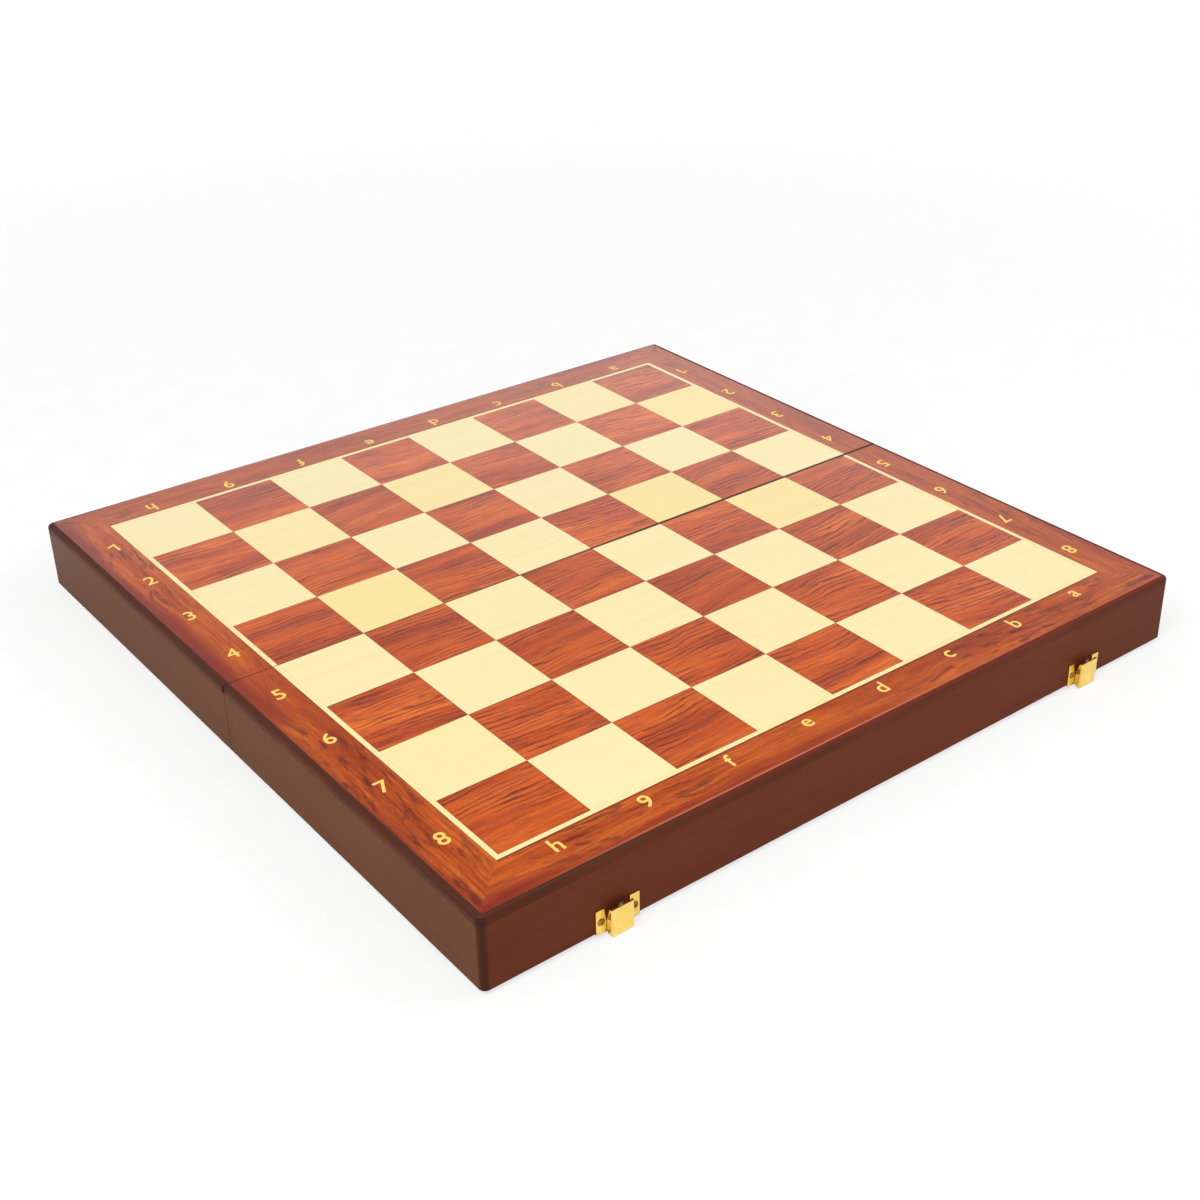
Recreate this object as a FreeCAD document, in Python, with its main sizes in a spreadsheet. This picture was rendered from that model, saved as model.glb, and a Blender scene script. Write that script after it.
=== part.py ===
import FreeCAD, Part
import math
import os
import Sketcher

# A folding game board that closes into its own storage case.
# Origin: the middle of the open board, on the table. X runs along the fold, Y from the front
# edge to the back edge, Z up. Both halves are drawn as the front one, and the back half is the
# same woodwork turned half a turn about Z.

FILES = 8
RANKS_PER_HALF = 4
KNUCKLES = 5
SCREWS_PER_LEAF = 3

SIZES = {
    # playing surface
    "square_side": 42.25,
    "line_width": 2.3,
    "border_width": 23.7,
    "veneer_thickness": 0.6,
    "core_thickness": 3.4,
    # walls
    "wall_thickness": 10,
    "wall_height": 29.8,
    "corner_radius": 3,
    "edge_radius": 2.2,
    "joint_radius": 0.15,
    "rim_radius": 0.8,
    "seam_gap": 0.4,
    "seam_notch_radius": 1.1,
    "lining_thickness": 1.2,
    "lining_clearance": 0.3,
    # hinges
    "hinge_offset": 110,
    "hinge_length": 50,
    "leaf_height": 14,
    "leaf_thickness": 1,
    "knuckle_radius": 1.8,
    "knuckle_gap": 0.2,
    "hinge_pin_radius": 0.9,
    "hinge_screw_spacing": 16,
    "rim_clearance": 0.1,
    "notch_clearance": 0.3,
    # countersunk hinge screws
    "flat_head_radius": 2,
    "flat_shank_radius": 1,
    "flat_screw_length": 8,
    # clasp and keeper plates
    "clasp_offset": 135,
    "plate_width": 20.5,
    "plate_height": 11.2,
    "plate_thickness": 0.8,
    "plate_corner_radius": 0.5,
    "plate_flap_width": 4.45,
    "plate_notch_depth": 4.5,
    "plate_screw_inset": 2.35,
    # dome headed plate screws
    "dome_head_radius": 1.7,
    "dome_head_height": 0.9,
    "dome_shank_radius": 0.9,
    "dome_screw_length": 7,
    "screw_tip_length": 2,
    "drive_slot_width": 0.45,
    "drive_slot_depth": 0.45,
    # clasp lever and its pivot
    "lever_side_gap": 0.4,
    "lever_reach": 4,
    "lever_sheet": 0.8,
    "lever_overtop": 0.2,
    "lever_bend_radius": 1.6,
    "lever_corner_radius": 0.6,
    "lever_lip_radius": 1.8,
    "nose_reach": 2.05,
    "pivot_reach": 1.9,
    "pivot_rise": 5.1,
    "cheek_gap": 0.2,
    "cheek_foot_rise": 0.7,
    "cheek_top_reach": 2.8,
    "lug_radius": 1.1,
    "lug_thickness": 0.8,
    "lug_gap": 0.2,
    "clasp_pin_radius": 0.5,
    "clasp_pin_overhang": 0.2,
    # return spring of the lever
    "spring_width": 1.8,
    "spring_thickness": 0.3,
    "spring_foot_rise": 1.6,
    "spring_foot_length": 4.8,
    "spring_tip_gap": 0.3,
    "spring_tip_rise": 0.5,
    # keeper tongue
    "tongue_side_gap": 0.6,
    "tongue_thickness": 0.8,
    "tongue_gap": 0.2,
    "tongue_root_rise": 0.6,
    "tongue_root_height": 2.6,
    "bead_radius": 0.9,
    # fits
    "running_clearance": 0.05,
    "fit_clearance": 0.1,
    "overrun": 1,
}

doc = FreeCAD.newDocument("folding_board")
sheet = doc.addObject("Spreadsheet::Sheet", "sizes")
for row, (alias, size) in enumerate(SIZES.items(), start=1):
    sheet.set(f"A{row}", alias)
    sheet.set(f"B{row}", str(size))
    sheet.setAlias(f"B{row}", alias)
doc.recompute()

# Places worked out from the driving sizes. The levels are counted from the table upwards.
axis_level = "sizes.knuckle_radius"
rim_level = "(sizes.knuckle_radius + sizes.rim_clearance)"
wall_top = f"({rim_level} + sizes.wall_height)"
core_top = f"({wall_top} + sizes.core_thickness)"
play_level = f"({core_top} + sizes.veneer_thickness)"
seam_face = "(-sizes.seam_gap / 2)"
half_width = f"({FILES} / 2 * sizes.square_side + sizes.line_width + sizes.border_width)"
outer_face = (
    f"({seam_face} - {RANKS_PER_HALF} * sizes.square_side"
    " - sizes.line_width - sizes.border_width)"
)
nodes = []

UP = FreeCAD.Vector(0, 0, 1)
HALF_TURN = FreeCAD.Rotation(UP, 180)
# Profiles are drawn with their own X pointing away from the wall. These turn that X outwards,
# and stand a screw drawn along Z with its head facing the front or the back.
FACING_FRONT = FreeCAD.Rotation(UP, -90)
HEAD_TO_FRONT = FreeCAD.Rotation(FreeCAD.Vector(1, 0, 0), 90)
HEAD_TO_BACK = FreeCAD.Rotation(FreeCAD.Vector(1, 0, 0), -90)


def number(expression):
    return float(sheet.evalExpression(expression))


def put(piece, x="0", y="0", z="0", rotation=None):
    if rotation is not None:
        piece.Placement = FreeCAD.Placement(FreeCAD.Vector(), rotation)
    for axis, expression in zip("xyz", (x, y, z)):
        piece.setExpression(f"Placement.Base.{axis}", expression)
    return piece


def node(piece, label, turn=None):
    """Names a finished sub-part, and turns it into the back half if asked."""
    piece.Label = label
    if turn is not None:
        piece.Placement = FreeCAD.Placement(FreeCAD.Vector(), turn)
    nodes.append(piece)
    return piece


def block(name, x, y, z):
    """A box between a low and a high place on each axis."""
    piece = doc.addObject("Part::Box", name)
    for side, axis, (low, high) in zip(("Length", "Width", "Height"), "xyz", (x, y, z)):
        piece.setExpression(side, f"{high} - {low}")
        piece.setExpression(f"Placement.Base.{axis}", low)
    return piece


def rod(name, radius, length, x, y, z, direction):
    piece = doc.addObject("Part::Cylinder", name)
    piece.setExpression("Radius", radius)
    piece.setExpression("Height", length)
    return put(piece, x, y, z, FreeCAD.Rotation(UP, FreeCAD.Vector(*direction)))


def joined(name, pieces):
    piece = doc.addObject("Part::MultiFuse", name)
    piece.Shapes = pieces
    return piece


def group(name, pieces):
    piece = doc.addObject("Part::Compound", name)
    piece.Links = pieces
    return piece


def cut(name, piece, tools):
    result = doc.addObject("Part::Cut", name)
    result.Base = piece
    result.Tool = tools[0] if len(tools) == 1 else group(f"{name}_tools", tools)
    return result


def shared(name, piece, other):
    result = doc.addObject("Part::Common", name)
    result.Base = piece
    result.Tool = other
    return result


def outline(body, name, plane, corners):
    """A closed sketch. A corner is (x, y), or (x, y, radius, sense) where an arc leaves it,
    with sense 1 for an arc that turns left and -1 for one that turns right."""
    sketch = body.newObject("Sketcher::SketchObject", name)
    support = [feature for feature in body.Origin.OriginFeatures if feature.Role == plane]
    sketch.AttachmentSupport = [(support[0], "")]
    sketch.MapMode = "FlatFace"
    places = [FreeCAD.Vector(number(corner[0]), number(corner[1]), 0) for corner in corners]
    edges = []
    for corner, start, end in zip(corners, places, places[1:] + places[:1]):
        if len(corner) == 2:
            edges.append((sketch.addGeometry(Part.LineSegment(start, end), False), 1, 2))
            continue
        radius, sense = number(corner[2]), corner[3]
        chord = end - start
        across = FreeCAD.Vector(-chord.y, chord.x, 0).normalize() * sense
        centre = (start + end) / 2 + across * math.sqrt(radius**2 - (chord.Length / 2) ** 2)
        first, last = (start, end) if sense > 0 else (end, start)
        angles = [math.atan2(place.y - centre.y, place.x - centre.x) for place in (first, last)]
        arc = Part.ArcOfCircle(Part.Circle(centre, UP, radius), *angles)
        ends = (1, 2) if sense > 0 else (2, 1)
        edges.append((sketch.addGeometry(arc, False), *ends))
    for i, (edge, start, end) in enumerate(edges):
        following = edges[(i + 1) % len(edges)]
        sketch.addConstraint(
            Sketcher.Constraint("Coincident", edge, end, following[0], following[1])
        )
        for kind, place, expression in zip(("DistanceX", "DistanceY"), places[i], corners[i]):
            fixed = Sketcher.Constraint(kind, -1, 1, edge, start, place)
            sketch.setExpression(f"Constraints[{sketch.addConstraint(fixed)}]", expression)
        if len(corners[i]) > 2:
            fixed = Sketcher.Constraint("Radius", edge, number(corners[i][2]))
            sketch.setExpression(f"Constraints[{sketch.addConstraint(fixed)}]", corners[i][2])
    return sketch


def padded(name, plane, corners, thickness, side="Symmetric"):
    body = doc.addObject("PartDesign::Body", name)
    sketch = outline(body, f"{name}_outline", plane, corners)
    pad = body.newObject("PartDesign::Pad", f"{name}_pad")
    pad.Profile = sketch
    pad.SideType = side
    pad.setExpression("Length", thickness)
    doc.recompute()
    return body, pad


def rounded(body, last, name, radius, wanted):
    """Rounds the edges of the last feature whose end points pass the test together."""
    edges = [
        f"Edge{i}"
        for i, edge in enumerate(last.Shape.Edges, start=1)
        if wanted([vertex.Point for vertex in edge.Vertexes])
    ]
    fillet = body.newObject("PartDesign::Fillet", name)
    fillet.Base = (last, edges)
    fillet.setExpression("Radius", radius)
    doc.recompute()
    return fillet


def same(a, b):
    return abs(a - b) < number("sizes.running_clearance")


# The half board's outer form: one prism for the walls and one for the top, both with rounded
# outer corners. The two forms are later shared out among the boards that they are made of.
left, right = f"(-{half_width})", half_width
footprint = [
    (left, seam_face),
    (left, f"{outer_face} + sizes.corner_radius", "sizes.corner_radius", 1),
    (f"{left} + sizes.corner_radius", outer_face),
    (f"{right} - sizes.corner_radius", outer_face, "sizes.corner_radius", 1),
    (right, f"{outer_face} + sizes.corner_radius"),
    (right, seam_face),
]


def outer_form(name, low, high, roundings):
    """Pads the footprint and rounds its edges, but not at the seam. Each rounding says whether
    it is at the top, and its radius."""
    body, last = padded(name, "XY_Plane", footprint, f"{high} - {low}", "One side")
    seam = number(seam_face)
    for at_top, radius in roundings:
        level = number(f"{high} - {low}") if at_top else 0

        def outer_edge(points):
            level_all_along = all(same(point.z, level) for point in points)
            return level_all_along and not all(same(point.y, seam) for point in points)

        place = "top" if at_top else "foot"
        last = rounded(body, last, f"{name}_{place}_rounding", radius, outer_edge)
    return put(body, z=low)


wall_form = outer_form("wall_form", rim_level, wall_top, [(False, "sizes.rim_radius")])
top_blank = outer_form(
    "top_blank", wall_top, play_level,
    [(True, "sizes.edge_radius"), (False, "sizes.joint_radius")],
)
# The top's corners are eased where the fold meets the sides.
seam_notches = [
    rod(
        f"{hand}_seam_notch", "sizes.seam_notch_radius",
        f"{play_level} - {wall_top} + 2 * sizes.overrun",
        x, "0", f"{wall_top} - sizes.overrun", (0, 0, 1),
    )
    for hand, x in (("left", left), ("right", right))
]
top_form = cut("top_form", top_blank, seam_notches)


def strip(name, length_low, length_high, mitre_low, mitre_high, edge, width, low, high):
    """A strip whose outer edge lies at local Y = edge, with a mitre at either end or both."""
    piece = doc.addObject("Part::Wedge", name)
    limits = {
        "Xmin": length_low,
        "Xmax": length_high,
        "X2min": f"{length_low} + {width}" if mitre_low else length_low,
        "X2max": f"{length_high} - {width}" if mitre_high else length_high,
        "Ymin": edge,
        "Ymax": f"{edge} + {width}",
        "Zmin": low,
        "Zmax": high,
        "Z2min": low,
        "Z2max": high,
    }
    for limit, expression in limits.items():
        piece.setExpression(limit, expression)
    return piece


def mitred_frame(name, inset, width, low, high):
    """The three strips round a half: across the end, and down the left and the right side."""
    edge, end, seam = f"({left} + {inset})", f"({outer_face} + {inset})", seam_face
    across = strip(f"{name}_end", edge, f"-{edge}", True, True, end, width, low, high)
    on_left = strip(f"{name}_left", f"-{seam}", f"-{end}", False, True, edge, width, low, high)
    on_left.Placement = FreeCAD.Placement(FreeCAD.Vector(), FreeCAD.Rotation(UP, -90))
    on_right = strip(f"{name}_right", end, seam, True, False, edge, width, low, high)
    on_right.Placement = FreeCAD.Placement(FreeCAD.Vector(), FreeCAD.Rotation(UP, 90))
    return {"end": across, "left": on_left, "right": on_right}


walls = mitred_frame("wall", "0", "sizes.wall_thickness", rim_level, wall_top)
borders = mitred_frame("border", "0", "sizes.border_width", core_top, play_level)
lines = mitred_frame("line", "sizes.border_width", "sizes.line_width", core_top, play_level)

core_sheet = block(
    "core_sheet", (left, right), (outer_face, seam_face), (wall_top, core_top)
)

inner_left = f"({left} + sizes.wall_thickness)"
inner_end = f"({outer_face} + sizes.wall_thickness)"
inner_seam = f"({seam_face} - sizes.wall_thickness)"
lining_sheet = block(
    "lining_sheet",
    (f"({inner_left} + sizes.lining_clearance)", f"(-{inner_left} - sizes.lining_clearance)"),
    (f"({inner_end} + sizes.lining_clearance)", f"({inner_seam} - sizes.lining_clearance)"),
    (f"({wall_top} - sizes.lining_thickness)", wall_top),
)

# Veneer squares, with a dark one in the front left corner of the board.
squares = {"dark": [], "light": []}
for file in range(FILES):
    for rank in range(RANKS_PER_HALF):
        shade = "dark" if (file + rank) % 2 else "light"
        squares[shade].append(
            block(
                f"square_{file}_{rank}",
                (f"({file} - {FILES} / 2) * sizes.square_side",
                 f"({file + 1} - {FILES} / 2) * sizes.square_side"),
                (f"({seam_face} - {rank + 1} * sizes.square_side)",
                 f"({seam_face} - {rank} * sizes.square_side)"),
                (core_top, play_level),
            )
        )

# Screws, drawn along Z with the head up and its seat at zero.


def turned_screw(name, profile, slot_top, slot_reach):
    """Turns a screw about its own axis and cuts a cross slot in its head."""
    body = doc.addObject("PartDesign::Body", f"{name}_blank")
    sketch = outline(body, f"{name}_profile", "XZ_Plane", profile)
    turning = body.newObject("PartDesign::Revolution", f"{name}_turning")
    turning.Profile = sketch
    turning.ReferenceAxis = (sketch, ["V_Axis"])
    depth = (f"({slot_top} - sizes.drive_slot_depth)", f"({slot_top} + sizes.overrun)")
    narrow = ("(-sizes.drive_slot_width / 2)", "sizes.drive_slot_width / 2")
    wide = (f"(-{slot_reach})", slot_reach)
    slots = [
        block(f"{name}_slot", wide, narrow, depth),
        block(f"{name}_cross_slot", narrow, wide, depth),
    ]
    return cut(name, body, [joined(f"{name}_drive", slots)])


flat_head_height = "(sizes.flat_head_radius - sizes.flat_shank_radius)"
flat_screw = turned_screw(
    "flat_screw",
    [
        ("0", "0"),
        ("0", "-sizes.flat_screw_length"),
        ("sizes.flat_shank_radius", "sizes.screw_tip_length - sizes.flat_screw_length"),
        ("sizes.flat_shank_radius", f"-{flat_head_height}"),
        ("sizes.flat_head_radius", "0"),
    ],
    "0",
    "sizes.flat_head_radius / 2",
)
dome_radius = (
    "((sizes.dome_head_radius ^ 2 + sizes.dome_head_height ^ 2)"
    " / (2 * sizes.dome_head_height))"
)
dome_screw = turned_screw(
    "dome_screw",
    [
        ("0", "sizes.dome_head_height"),
        ("0", "-sizes.dome_screw_length"),
        ("sizes.dome_shank_radius", "sizes.screw_tip_length - sizes.dome_screw_length"),
        ("sizes.dome_shank_radius", "0"),
        ("sizes.dome_head_radius", "0", dome_radius, 1),
    ],
    "sizes.dome_head_height",
    "sizes.dome_head_radius / 2",
)


def copies(name, piece, places, rotation):
    """Copies of one piece, each at its own place."""
    return [
        put(group(f"{name}_{i}", [piece]), *place, rotation)
        for i, place in enumerate(places, start=1)
    ]


# Hinges. The leaves lie in the seam, let into the inner walls. Their knuckles sit at the rim, so
# that the rims meet when the board is folded.
leaf_low = f"({axis_level} + sizes.knuckle_radius + sizes.notch_clearance)"
leaf_high = f"({axis_level} + sizes.leaf_height)"
leaf_end = "sizes.hinge_length / 2"
leaf_screw_level = f"(({leaf_low} + {leaf_high}) / 2)"
hinge_screw_steps = [i - (SCREWS_PER_LEAF - 1) / 2 for i in range(SCREWS_PER_LEAF)]
hinge_screw_places = [f"({step} * sizes.hinge_screw_spacing)" for step in hinge_screw_steps]
hinge_places = {"left": "(-sizes.hinge_offset)", "right": "sizes.hinge_offset"}
flat_hole_radius = "sizes.flat_shank_radius + sizes.running_clearance"


def countersink(name, x):
    """The screw's seat in the leaf: a cone at the face and a hole through it."""
    seat = doc.addObject("Part::Cone", f"{name}_seat")
    seat.setExpression("Radius1", "sizes.flat_head_radius + sizes.running_clearance")
    seat.setExpression("Radius2", flat_hole_radius)
    seat.setExpression("Height", flat_head_height)
    put(seat, x, seam_face, leaf_screw_level, HEAD_TO_FRONT)
    hole = rod(
        f"{name}_hole", flat_hole_radius, "sizes.leaf_thickness + sizes.overrun",
        x, seam_face, leaf_screw_level, (0, -1, 0),
    )
    return joined(name, [seat, hole])


def hinge_leaf(name, knuckles):
    """A leaf with its knuckles, drawn for the front half at the middle of the hinge."""
    thickness = (f"({seam_face} - sizes.leaf_thickness)", seam_face)
    sheet_part = block(f"{name}_sheet", (f"(-{leaf_end})", leaf_end), thickness,
                       (leaf_low, leaf_high))
    pieces = [sheet_part]
    for knuckle in knuckles:
        start = f"({knuckle} / {KNUCKLES} * sizes.hinge_length - {leaf_end} + sizes.knuckle_gap / 2)"
        length = f"(sizes.hinge_length / {KNUCKLES} - sizes.knuckle_gap)"
        pieces.append(
            rod(f"{name}_knuckle_{knuckle}", "sizes.knuckle_radius", length,
                start, "0", axis_level, (1, 0, 0))
        )
        pieces.append(
            block(f"{name}_web_{knuckle}", (start, f"({start} + {length})"), thickness,
                  (axis_level, leaf_low))
        )
    bore = rod(
        f"{name}_bore", "sizes.hinge_pin_radius + sizes.running_clearance",
        "sizes.hinge_length + 2 * sizes.overrun",
        f"-{leaf_end} - sizes.overrun", "0", axis_level, (1, 0, 0),
    )
    seats = [
        countersink(f"{name}_countersink_{i}", x)
        for i, x in enumerate(hinge_screw_places, start=1)
    ]
    return cut(name, joined(f"{name}_blank", pieces), [bore] + seats)


front_leaf = hinge_leaf("front_leaf", range(0, KNUCKLES, 2))
back_leaf = hinge_leaf("back_leaf", range(1, KNUCKLES, 2))
hinge_pin = rod(
    "hinge_pin", "sizes.hinge_pin_radius", "sizes.hinge_length",
    f"-{leaf_end}", "0", axis_level, (1, 0, 0),
)
for hand, x in hinge_places.items():
    for piece, label in ((front_leaf, "hinge_front_leaf"), (hinge_pin, "hinge_pin")):
        node(put(group(f"{label}_{hand}", [piece]), x), f"{hand}_{label}")
    turned_leaf = put(group(f"hinge_back_leaf_{hand}", [back_leaf]), x, rotation=HALF_TURN)
    node(turned_leaf, f"{hand}_hinge_back_leaf")

all_hinge_screw_places = [
    (f"{hinge} + {x}", seam_face, leaf_screw_level)
    for hinge in hinge_places.values()
    for x in hinge_screw_places
]
hinge_screws = copies("hinge_screw", flat_screw, all_hinge_screw_places, HEAD_TO_BACK)

# The inner wall between the side walls, with a mortise for each leaf, a rounded notch for its
# knuckles and a pilot hole for each screw.
seam_board = block(
    "seam_board", (inner_left, f"(-{inner_left})"), (inner_seam, seam_face),
    (rim_level, wall_top),
)
mortises = []
for hand, x in hinge_places.items():
    reach = f"({leaf_end} + sizes.fit_clearance)"
    ends = (f"({x} - {reach})", f"({x} + {reach})")
    housing = block(
        f"{hand}_mortise", ends,
        (f"({seam_face} - sizes.leaf_thickness)", f"({seam_face} + sizes.overrun)"),
        (f"({rim_level} - sizes.overrun)", f"({leaf_high} + sizes.fit_clearance)"),
    )
    notch = rod(
        f"{hand}_knuckle_notch", "sizes.knuckle_radius + sizes.notch_clearance",
        f"2 * {reach}", ends[0], "0", axis_level, (1, 0, 0),
    )
    holes = [
        rod(
            f"{hand}_pilot_{i}", flat_hole_radius,
            "sizes.flat_screw_length + sizes.fit_clearance",
            f"{x} + {step}", seam_face, leaf_screw_level, (0, -1, 0),
        )
        for i, step in enumerate(hinge_screw_places, start=1)
    ]
    mortises.append(joined(f"{hand}_hinge_housing", [housing, notch] + holes))

# Clasp and keeper plates. Both are the same pressed plate, on the outer face of an end wall.
plate_end = "(sizes.plate_width / 2)"
plate_top = f"({rim_level} + sizes.plate_height)"
plate_notch = f"({plate_end} - sizes.plate_flap_width)"
corner = "sizes.plate_corner_radius"
plate, _ = padded(
    "pressed_plate",
    "XZ_Plane",
    [
        (f"{plate_end} - {corner}", rim_level, corner, 1),
        (plate_end, f"{rim_level} + {corner}"),
        (plate_end, f"{plate_top} - {corner}", corner, 1),
        (f"{plate_end} - {corner}", plate_top),
        (plate_notch, plate_top),
        (plate_notch, f"{plate_top} - sizes.plate_notch_depth"),
        (f"-{plate_notch}", f"{plate_top} - sizes.plate_notch_depth"),
        (f"-{plate_notch}", plate_top),
        (f"{corner} - {plate_end}", plate_top, corner, 1),
        (f"-{plate_end}", f"{plate_top} - {corner}"),
        (f"-{plate_end}", f"{rim_level} + {corner}", corner, 1),
        (f"{corner} - {plate_end}", rim_level),
    ],
    "sizes.plate_thickness",
    "One side",
)
plate_screw_level = f"({rim_level} + sizes.plate_height / 2)"
plate_screw_reach = f"({plate_end} - sizes.plate_screw_inset)"
plate_screw_places = [f"(-{plate_screw_reach})", plate_screw_reach]
dome_hole_radius = "sizes.dome_shank_radius + sizes.running_clearance"
plate_holes = [
    rod(
        f"plate_hole_{i}", dome_hole_radius, "sizes.plate_thickness + 2 * sizes.overrun",
        x, "sizes.overrun", plate_screw_level, (0, -1, 0),
    )
    for i, x in enumerate(plate_screw_places, start=1)
]
clasp_places = {"left": "(-sizes.clasp_offset)", "right": "sizes.clasp_offset"}
all_plate_screw_places = [
    (f"{clasp} + {x}", f"{outer_face} - sizes.plate_thickness", plate_screw_level)
    for clasp in clasp_places.values()
    for x in plate_screw_places
]
plate_screws = copies("plate_screw", dome_screw, all_plate_screw_places, HEAD_TO_FRONT)
end_wall_holes = [
    rod(
        f"end_wall_hole_{i}", dome_hole_radius, "sizes.dome_screw_length + sizes.overrun",
        x, f"{outer_face} - sizes.overrun", z, (0, 1, 0),
    )
    for i, (x, _, z) in enumerate(all_plate_screw_places, start=1)
]

# The clasp: two lugs on the plate carry a pin, and a folded sheet lever rocks on it. Pressing the
# lever's top swings its lower lip out. Profiles have X out from the wall and Z up.
pivot_level = f"({rim_level} + sizes.pivot_rise)"
lever_side = f"({plate_notch} - sizes.lever_side_gap)"
cheek_inside = f"({lever_side} - sizes.lever_sheet)"
lug_face = f"({cheek_inside} - sizes.lug_gap)"
lugs = []
for hand, x in (("left", f"(-{lug_face})"), ("right", f"({lug_face} - sizes.lug_thickness)")):
    arm = block(
        f"{hand}_lug_arm", (x, f"({x} + sizes.lug_thickness)"), ("(-sizes.pivot_reach)", "0"),
        (f"({pivot_level} - sizes.lug_radius)", f"({pivot_level} + sizes.lug_radius)"),
    )
    eye = rod(
        f"{hand}_lug_eye", "sizes.lug_radius", "sizes.lug_thickness",
        x, "-sizes.pivot_reach", pivot_level, (1, 0, 0),
    )
    lugs += [arm, eye]
pin_end = f"({lever_side} + sizes.clasp_pin_overhang)"
pivot_hole = rod(
    "pivot_hole", "sizes.clasp_pin_radius + sizes.running_clearance", f"2 * {pin_end}",
    f"-{pin_end}", "-sizes.pivot_reach", pivot_level, (1, 0, 0),
)
clasp_plate = cut(
    "clasp_plate", joined("clasp_plate_blank", [plate] + lugs), plate_holes + [pivot_hole]
)
clasp_pin = rod(
    "clasp_pin", "sizes.clasp_pin_radius", f"2 * {pin_end}",
    f"-{pin_end}", "-sizes.pivot_reach", pivot_level, (1, 0, 0),
)

face_inside = "(sizes.lever_reach - sizes.lever_sheet)"
lever_top = f"({plate_top} + sizes.lever_overtop)"
bend_reach = "(sizes.lever_reach - sizes.lever_bend_radius)"
cheek_back = "(sizes.plate_thickness + sizes.cheek_gap)"
lever_body, lever_pad = padded(
    "lever_sheet_form",
    "XZ_Plane",
    [
        ("sizes.nose_reach", "0"),
        (bend_reach, "0", "sizes.lever_bend_radius", 1),
        ("sizes.lever_reach", "sizes.lever_bend_radius"),
        ("sizes.lever_reach", lever_top),
        ("sizes.cheek_top_reach", lever_top),
        (cheek_back, pivot_level),
        (cheek_back, f"{rim_level} + sizes.cheek_foot_rise"),
        ("sizes.nose_reach", "sizes.lever_sheet"),
    ],
    f"2 * {lever_side}",
)


def lever_corner(points):
    """The edges down both sides of the lever's face and round its bend."""
    outside = all(point.x >= number(bend_reach) - number("sizes.fit_clearance") for point in points)
    along = same(points[0].y, points[-1].y) and not same(points[0].z, points[-1].z)
    return outside and along


rounded(lever_body, lever_pad, "lever_corners", "sizes.lever_corner_radius", lever_corner)
hollow = outline(
    lever_body,
    "lever_hollow_outline",
    "XZ_Plane",
    [
        (f"{cheek_back} - sizes.overrun", "sizes.lever_sheet"),
        (bend_reach, "sizes.lever_sheet", "sizes.lever_bend_radius - sizes.lever_sheet", 1),
        (face_inside, "sizes.lever_bend_radius"),
        (face_inside, f"{lever_top} + sizes.overrun"),
        (f"{cheek_back} - sizes.overrun", f"{lever_top} + sizes.overrun"),
    ],
)
lever_pocket = lever_body.newObject("PartDesign::Pocket", "lever_hollow")
lever_pocket.Profile = hollow
lever_pocket.SideType = "Symmetric"
lever_pocket.setExpression("Length", f"2 * {cheek_inside}")
doc.recompute()
put(lever_body, rotation=FACING_FRONT)
# The ends of the lip are rounded off, as seen from the front.
lip_end = f"({lever_side} - sizes.lever_lip_radius)"
lip_side = f"({lever_side} + sizes.overrun)"
lip_corners = []
for hand, x, span in (
    ("left", f"(-{lip_end})", (f"(-{lip_side})", f"(-{lip_end})")),
    ("right", lip_end, (lip_end, lip_side)),
):
    waste = block(
        f"{hand}_lip_waste", span, ("(-sizes.lever_reach - sizes.overrun)", "0"),
        ("(-sizes.overrun)", "sizes.lever_lip_radius"),
    )
    kept = rod(
        f"{hand}_lip_round", "sizes.lever_lip_radius", "sizes.lever_reach + 2 * sizes.overrun",
        x, "sizes.overrun", "sizes.lever_lip_radius", (0, -1, 0),
    )
    lip_corners.append(cut(f"{hand}_lip_corner", waste, [kept]))
clasp_lever = cut("clasp_lever", lever_body, [pivot_hole] + lip_corners)

spring_foot = f"({rim_level} + sizes.spring_foot_rise)"
spring_bend = f"({spring_foot} + sizes.spring_foot_length)"
spring_face = "(sizes.plate_thickness + sizes.spring_thickness)"
spring_tip = f"({face_inside} - sizes.spring_tip_gap)"
spring_body, _ = padded(
    "spring_strip",
    "XZ_Plane",
    [
        ("sizes.plate_thickness", spring_foot),
        (spring_face, spring_foot),
        (spring_face, spring_bend),
        (spring_tip, f"{lever_top} + sizes.spring_tip_rise"),
        (f"{spring_tip} - sizes.spring_thickness", f"{lever_top} + sizes.spring_tip_rise"),
        ("sizes.plate_thickness", spring_bend),
    ],
    "sizes.spring_width",
)
put(spring_body, rotation=FACING_FRONT)

for hand, x in clasp_places.items():
    for piece, label in (
        (clasp_plate, "clasp_plate"),
        (clasp_pin, "clasp_pin"),
        (spring_body, "clasp_spring"),
        (clasp_lever, "clasp_lever"),
    ):
        node(put(group(f"{label}_{hand}", [piece]), x, outer_face), f"{hand}_{label}")

# The keeper: a tongue stands off the plate and ends in a rolled bead, which the lever's lip
# holds when the board is folded. Open, the beads, the lever lips and the knuckles touch the table.
tongue_end = f"({cheek_inside} - sizes.tongue_side_gap)"
tongue_sides = (f"(-{tongue_end})", tongue_end)
tongue_inside = "(sizes.plate_thickness + sizes.tongue_gap)"
tongue_outside = f"({tongue_inside} + sizes.tongue_thickness)"
root_low = f"({rim_level} + sizes.tongue_root_rise)"
root_high = f"({root_low} + sizes.tongue_root_height)"
tongue_pieces = [
    block("tongue_root", tongue_sides, (f"(-{tongue_outside})", "0"), (root_low, root_high)),
    block("tongue", tongue_sides, (f"(-{tongue_outside})", f"(-{tongue_inside})"),
          ("sizes.bead_radius", root_high)),
    rod("tongue_bead", "sizes.bead_radius", f"2 * {tongue_end}", f"-{tongue_end}",
        f"-{tongue_inside} - sizes.bead_radius", "sizes.bead_radius", (1, 0, 0)),
]
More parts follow.
